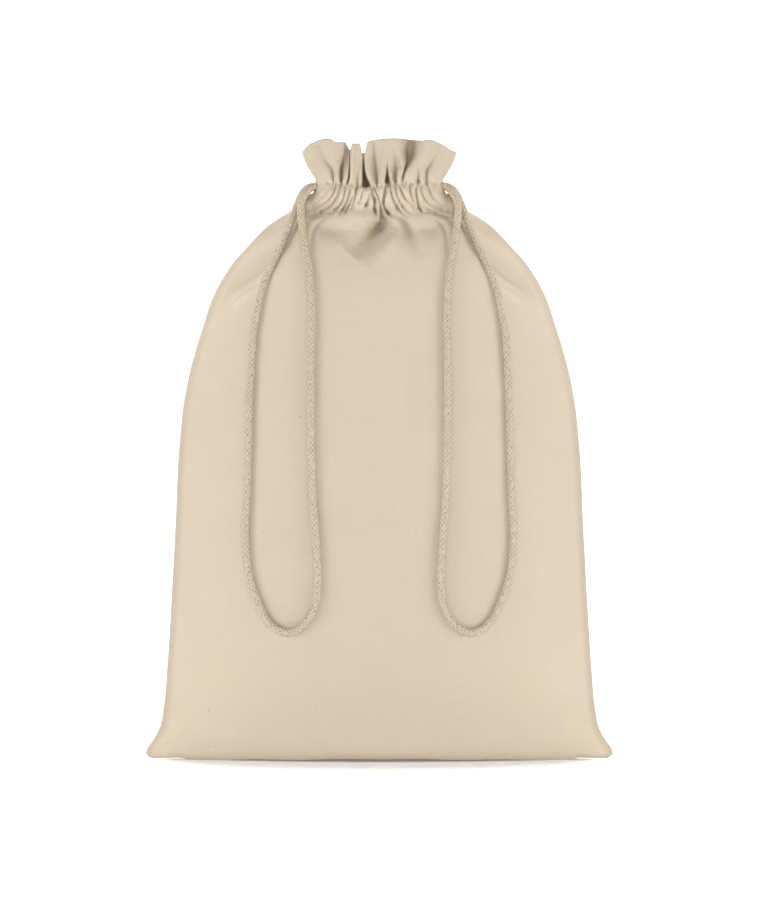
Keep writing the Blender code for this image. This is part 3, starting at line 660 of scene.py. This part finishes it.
# ---------------------------------------------------------------- scene

def add_camera():
    """Straight at the front, level, from far off."""
    data = bpy.data.cameras.new("camera")
    data.lens = 185.0
    data.clip_end = 20
    camera = bpy.data.objects.new("camera", data)
    camera.location = (0.0017, -3.0, 0.1977)
    camera.rotation_euler = (math.pi / 2, 0, 0)
    bpy.context.scene.collection.objects.link(camera)
    bpy.context.scene.camera = camera


def add_light(kind, name, place, target, power, **settings):
    data = bpy.data.lights.new(name, kind)
    data.energy = power
    for key, value in settings.items():
        setattr(data, key, value)
    light = bpy.data.objects.new(name, data)
    light.location = place
    light.rotation_euler = (Vector(target) - Vector(place)).to_track_quat("-Z", "Y").to_euler()
    bpy.context.scene.collection.objects.link(light)


def add_sweep():
    """White floor that curves up into a white backdrop, which glows a little behind the bag."""
    curve_start, curve_radius, front, top, half_width = 4.0, 1.0, -6.0, 6.0, 7.0
    profile = [(front, 0.0), (0.0, 0.0)]
    profile += [(curve_start + curve_radius * math.sin(t), curve_radius * (1 - math.cos(t)))
                for t in np.linspace(0, math.pi / 2, 24)]
    profile.append((curve_start + curve_radius, top))
    rows = np.array([[(x, y, z) for x in (-half_width, half_width)] for y, z in profile]) / MM
    sweep = add_grid("sweep", rows, np.zeros(rows.shape[:2] + (2,)))
    sweep.data.flip_normals()
    material = bpy.data.materials.new("sweep")
    n = Nodes(material)
    n.set_sockets(colour=(0.93, 0.93, 0.93, 1), roughness=0.8, emission=(1, 1, 1, 1))
    behind = n.add("SeparateXYZ", {0: n.add("NewGeometry").outputs["Position"]}).outputs[1]
    n.link(n.ramp(behind, 0.2, 1.4, 0.12, 0.62), "Emission Strength")
    sweep.data.materials.append(material)


def add_studio():
    """White sweep, with soft light from both sides, from the front and from above."""
    add_sweep()
    world = bpy.data.worlds.new("studio")
    bpy.context.scene.world = world
    world.use_nodes = True
    background = world.node_tree.nodes["Background"].inputs
    background["Color"].default_value = (1, 1, 1, 1)
    background["Strength"].default_value = 0.22
    middle = (0, 0, 0.16)
    for name, x in (("left_softbox", -1.62), ("right_softbox", 1.62)):
        add_light("AREA", name, (x, -0.80, 0.36), middle, 17, shape="RECTANGLE", size=0.8, size_y=1.3)
    add_light("AREA", "front_softbox", (0, -3.6, 1.0), middle, 40, shape="RECTANGLE", size=1.6, size_y=1.2)
    add_light("SUN", "top_light", (0, 0.64, 3), (0, 0, 0), 2.2, angle=math.radians(16))
    bpy.context.scene.view_settings.view_transform = "Standard"


def casing_run(side, lane):
    """A cord inside a casing: high at its own end, low at the far one, beside the other cord."""
    span, drop, half_apart = 0.92, 3.7, 2.45
    points = []
    for s in np.linspace(-span, span, 9):
        z = RUN_HEIGHT - drop * s * abs(s)
        half = 41 + 9 * ((FRILL_FOOT - z) / 18) ** 2  # the casing's half width there
        d = 3.4 + 4.2 * (1 - s * s) - side * lane * half_apart * math.cos(s * math.pi / 2)
        points.append((s * half, side * d, z))
    return points


def lay_on_cloth(path):
    """Where the loop hangs against the bag, it lies on the cloth."""
    x, z = path[:, 0], path[:, 2]
    in_front = path[:, 1] < -7
    below = np.clip((LIES_BELOW - z) / 14, 0, 1) * in_front
    rest = -surface(x, z, -1) - 0.96 * CORD_DIAMETER / 2
    reach = 20  # points to either side that the cord's stiffness smooths over
    window = np.hanning(2 * reach + 1)
    window /= window.sum()
    rest = np.convolve(np.pad(rest, reach, mode="edge"), window, "valid")
    path = path.copy()
    path[:, 1] += below * below * (3 - 2 * below) * (rest - path[:, 1])
    return path


def add_cord(owner, lane, material):
    """One cord as a closed loop, cut where its stretches ride on different bodies."""
    parts = {
        "front_exit": FRONT_EXIT, "loop": FRONT_LEAD + LOOP + BACK_LEAD, "back_exit": BACK_EXIT,
        "back_run": [BACK_MOUTH] + casing_run(1, lane), "crossing": CROSSING,
        "front_run": [FRONT_MOUTH] + casing_run(-1, lane)[::-1]}
    knots, starts = [], {}
    for name, points in parts.items():
        starts[name] = len(knots)
        knots += points
    route, places = spline(knots, ROUTE_STEP, closed=True)
    route = lay_on_cloth(route)
    route = np.vstack([route, route[:1]])
    places = places + [len(route) - 1]
    route[:, 0] *= lane
    frames = frames_along(route)
    lengths = np.concatenate([[0], np.cumsum(np.linalg.norm(np.diff(route, axis=0), axis=1))])
    names = list(parts)
    pieces = {}
    for i, name in enumerate(names):
        first = places[starts[name]]
        last = places[starts[names[i + 1]]] if i + 1 < len(names) else len(route) - 1
        part = slice(first, last + 1)
        piece = braided(f"{owner}_braid_{name}", route[part], [f[part] for f in frames], lengths[part])
        piece.data.materials.append(material)
        pieces[name] = (piece, route[part] * MM)
    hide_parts(f"{owner}_cord_loop", f"{owner}_cord_front_lead", f"{owner}_cord_back_lead")
    for name in ("front_exit", "back_exit", "front_run", "back_run", "crossing"):
        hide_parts(f"{owner}_cord_{name}")
    return {name: piece for name, (piece, _) in pieces.items()}


def ride_cord(pieces):
    """Bakes each stretch of a cord where it lies, and attaches the crossing to the bag."""
    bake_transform(pieces["loop"])
    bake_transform(pieces["front_exit"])
    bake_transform(pieces["back_exit"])
    for half, side in (("front", -1), ("back", 1)):
        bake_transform(pieces[f"{half}_run"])
    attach(pieces["crossing"], "bag")


def stitches(name, side, material):
    """Two rows of stitches that follow the gathered cloth, each stitch a short thread that dips in at its ends."""
    pitch, length, rings, sides = 2.9, 2.1, 6, 6
    lift = 0.16 * np.sin(np.linspace(0, math.pi, rings))
    girth = 0.24 * np.sin(np.linspace(0.35, math.pi - 0.35, rings)) ** 0.5
    points, faces = [], []
    for row in (UPPER_ROW, LOWER_ROW):
        half = float(section(np.array([row[0][1]]))[0][0]) - 1.0
        x = np.linspace(-half, half, 900)
        z = stitch_height(-side * x, row)
        line = np.stack([x, side * (surface(x, z, side) + 0.12), z], -1)
        reach = np.concatenate([[0], np.cumsum(np.linalg.norm(np.diff(line, axis=0), axis=1))])
        for start in np.arange(0.5, reach[-1] - 2.4, pitch):
            t = np.linspace(start, start + length, rings)
            core = np.stack([np.interp(t, reach, line[:, k]) for k in range(3)], -1)
            core[:, 1] += side * lift
            _, up, out = frames_along(core)
            base = len(points)
            for p, a, b, g in zip(core, up, out, girth):
                points += [p + g * (math.cos(w) * a + math.sin(w) * b) for w in np.arange(sides) * math.tau / sides]
            for i in range(rings - 1):
                for k in range(sides):
                    a, b = base + sides * i + k, base + sides * i + (k + 1) % sides
                    faces.append((a, b, b + sides, a + sides))
            last = base + sides * (rings - 1)
            faces += [tuple(base + k for k in range(sides - 1, -1, -1)), tuple(last + k for k in range(sides))]
    obj = add_mesh(name, points, faces)
    obj.data.materials.append(material)
    return obj


def build():
    add_camera()
    braid = cord_material()
    cords = {owner: add_cord(owner, lane, braid) for owner, lane in (("left", 1), ("right", -1))}
    add_studio()
    woven = cotton_material("woven_cotton", COTTON, threads_per_mm=1.9, bump=0.55, fleck=0.85)
    thread = thread_material()
    for half, side, outline in (("front", -1, FRONT_TOP), ("back", 1, BACK_TOP)):
        sheet = cloth(f"{half}_cloth", side, outline)
        sheet.data.materials.clear()
        sheet.data.materials.append(woven)
        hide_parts(f"{half}_panel", f"{half}_casing", f"{half}_frill")
        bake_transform(sheet)
        rows = stitches(f"{half}_stitching", side, thread)
        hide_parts(f"{half}_lower_stitch", f"{half}_upper_stitch")
        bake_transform(rows)
    for owner, lane in (("left", 1), ("right", -1)):
        ride_cord(cords[owner])
    for node in ("left_side_seam", "right_side_seam", "bottom_seam"):
        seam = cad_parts[node]
        seam.data.materials.clear()
        seam.data.materials.append(thread)


build()
